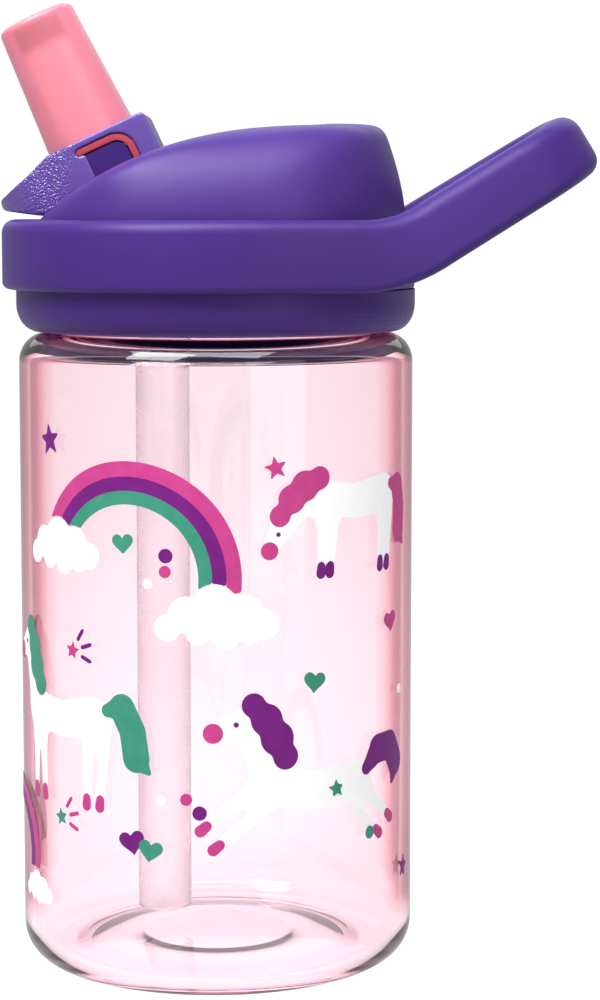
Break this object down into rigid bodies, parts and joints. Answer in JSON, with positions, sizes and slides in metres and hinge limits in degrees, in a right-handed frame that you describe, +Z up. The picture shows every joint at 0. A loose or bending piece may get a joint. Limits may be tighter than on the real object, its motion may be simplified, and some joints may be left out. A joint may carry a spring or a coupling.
{
  "type": "kids water bottle",
  "caption": "Clear kids water bottle with a screw lid, slanted carry loop, and flip-up bite valve feeding from a straw.",
  "frame": {"origin": "centre of the base, on the plane that the bottle stands on", "axes": "+Z up along the bottle's axis, +X towards the carry loop, -X towards the thumb tab of the spout"},
  "size_m": [0.1091, 0.0788, 0.1778],
  "materials": {
    "bottle": "clear tinted copolyester, gloss",
    "lid": "moulded polypropylene, satin",
    "drum": "moulded plastic, gloss",
    "mouthpiece": "translucent silicone, satin",
    "seal": "silicone, matte",
    "straw": "clear polypropylene tube"
  },
  "bodies": {
    "bottle": {"bottle_body": "bottle"},
    "seal": {"lid_seal": "seal"},
    "lid": {"cap_base": "lid", "carry_ring": "lid", "cap_dome": "lid", "port_seal": "seal", "vent_valve": "seal", "straw": "straw"},
    "spout": {"flip_pod": "lid", "pivot_drum": "drum", "bite_valve": "mouthpiece"}
  },
  "joints": [
    {"name": "lid_rise", "type": "slide", "parent": "bottle", "child": "seal", "axis": [0, 0, 1], "range_m": [0, 0.006]},
    {"name": "lid_turn", "type": "hinge", "parent": "seal", "child": "lid", "pos_m": [0, 0, 0.125], "axis": [0, 0, 1], "range_deg": [0, 540]},
    {"name": "spout_fold", "type": "hinge", "parent": "lid", "child": "spout", "pos_m": [-0.016, 0, 0.1442], "axis": [0, 1, 0], "range_deg": [0, 108]}
  ],
  "couplings": [
    {"joint": "lid_rise", "follows": "lid_turn", "m_per_rad": 0.00063662}
  ]
}
